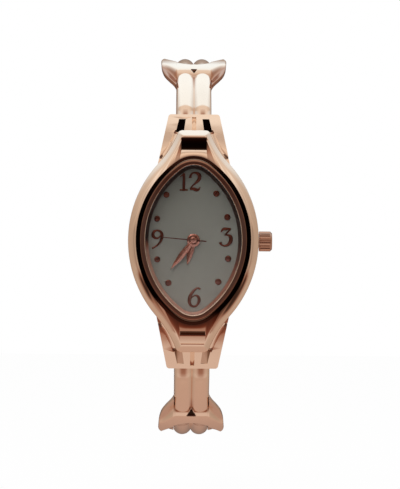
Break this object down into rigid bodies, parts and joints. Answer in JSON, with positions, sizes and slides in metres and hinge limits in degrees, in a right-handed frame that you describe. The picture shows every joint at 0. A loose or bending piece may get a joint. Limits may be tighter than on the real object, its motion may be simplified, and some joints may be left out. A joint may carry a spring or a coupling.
{
  "type": "wristwatch",
  "caption": "Lady's quartz bangle watch: lens-shaped dial in a curved rim, hinged twin-bar hoop with winged collars and a fold-over clasp at the back.",
  "frame": {"origin": "middle of the opening that the wrist goes through, on the dial's centre line", "axes": "+X to 3 o'clock and along the wrist, +Z to 12 o'clock, -Y out of the dial"},
  "size_m": [0.0232, 0.0585, 0.0642],
  "materials": {
    "rose_gold": "polished plating",
    "rose_gold_satin": "satin plating",
    "steel": "fine brushed",
    "crystal": "clear, polished",
    "rubber": "matt",
    "gasket_white": "matt",
    "dial": "fine matt grey",
    "marker": "glossy brown",
    "hand_gold": "polished plating",
    "hand_dark": "gloss black",
    "brass": "fine matt",
    "copper": "enamelled winding",
    "holder_plastic": "matt",
    "board": "solder resist",
    "magnet": "ground"
  },
  "bodies": {
    "case": {"bezel_frame": "rose_gold", "bezel_ring": "rose_gold", "crystal": "crystal", "crystal_gasket": "gasket_white", "dial": "dial", "hour_markers": "marker", "case_middle": "rose_gold", "case_back": "steel", "case_back_gasket": "rubber", "upper_hinge_pin": "steel", "lower_hinge_pin": "steel", "crown_tube": "steel", "movement_holder": "holder_plastic", "main_plate": "brass", "train_bridge": "steel", "battery": "steel", "battery_clip": "brass", "coil": "copper", "stator": "steel", "circuit_board": "board", "quartz_can": "steel"},
    "upper_band": {"upper_front_bars": "rose_gold", "upper_collar": "rose_gold", "upper_rear_bars": "rose_gold"},
    "lower_band": {"lower_front_bars": "rose_gold", "lower_collar": "rose_gold", "lower_rear_bars": "rose_gold"},
    "clasp": {"clasp_cover": "rose_gold_satin", "clasp_pin": "steel"},
    "yoke": {"setting_yoke": "steel"},
    "crown_stem": {"crown": "rose_gold", "stem": "steel", "crown_gasket": "rubber", "sliding_pinion": "steel"},
    "seconds": {"second_wheel": "brass", "second_hand": "hand_dark"},
    "minutes": {"centre_wheel": "brass", "minute_hand": "hand_gold"},
    "hours": {"hour_wheel": "brass", "hour_hand": "hand_gold"},
    "minute_work": {"minute_wheel": "brass"},
    "third": {"third_wheel": "brass"},
    "intermediate": {"intermediate_wheel": "brass"},
    "motor": {"rotor": "magnet"}
  },
  "joints": [
    {"name": "upper_band_swing", "type": "hinge", "parent": "case", "child": "upper_band", "pos_m": [0, -0.0201, 0.0193], "axis": [1, 0, 0], "range_deg": [0, 20]},
    {"name": "lower_band_swing", "type": "hinge", "parent": "case", "child": "lower_band", "pos_m": [0, -0.0201, -0.0193], "axis": [1, 0, 0], "range_deg": [-20, 0]},
    {"name": "clasp_swing", "type": "hinge", "parent": "lower_band", "child": "clasp", "pos_m": [0, 0.02717, -0.006], "axis": [1, 0, 0], "range_deg": [-90, 0]},
    {"name": "crown_pull", "type": "slide", "parent": "case", "child": "yoke", "axis": [1, 0, 0], "range_m": [0, 0.0008]},
    {"name": "crown_turn", "type": "hinge", "parent": "yoke", "child": "crown_stem", "pos_m": [0.011, -0.0247, 0], "axis": [1, 0, 0], "continuous": true},
    {"name": "seconds_turn", "type": "hinge", "parent": "case", "child": "seconds", "pos_m": [0, -0.0246, 0], "axis": [0, 1, 0], "continuous": true},
    {"name": "minutes_turn", "type": "hinge", "parent": "case", "child": "minutes", "pos_m": [0, -0.0246, 0], "axis": [0, 1, 0], "continuous": true},
    {"name": "hours_turn", "type": "hinge", "parent": "case", "child": "hours", "pos_m": [0, -0.0246, 0], "axis": [0, 1, 0], "continuous": true},
    {"name": "minute_work_turn", "type": "hinge", "parent": "case", "child": "minute_work", "pos_m": [-0.0017, -0.0246, -0.0017], "axis": [0, 1, 0], "continuous": true},
    {"name": "third_turn", "type": "hinge", "parent": "case", "child": "third", "pos_m": [0.00219, -0.0246, 0.0026], "axis": [0, 1, 0], "continuous": true},
    {"name": "intermediate_turn", "type": "hinge", "parent": "case", "child": "intermediate", "pos_m": [-0.00255, -0.0246, 0.00255], "axis": [0, 1, 0], "continuous": true},
    {"name": "motor_turn", "type": "hinge", "parent": "case", "child": "motor", "pos_m": [-0.00342, -0.0246, 0.00494], "axis": [0, 1, 0], "continuous": true}
  ],
  "couplings": [
    {"joint": "lower_band_swing", "follows": "upper_band_swing", "ratio": -1},
    {"joint": "clasp_swing", "follows": "upper_band_swing", "ratio": -4.5},
    {"joint": "third_turn", "follows": "seconds_turn", "ratio": -0.13333},
    {"joint": "minutes_turn", "follows": "seconds_turn", "ratio": 0.016667},
    {"joint": "minute_work_turn", "follows": "seconds_turn", "ratio": -0.0055556},
    {"joint": "hours_turn", "follows": "seconds_turn", "ratio": 0.0013889},
    {"joint": "intermediate_turn", "follows": "seconds_turn", "ratio": -4},
    {"joint": "motor_turn", "follows": "seconds_turn", "ratio": 30}
  ]
}
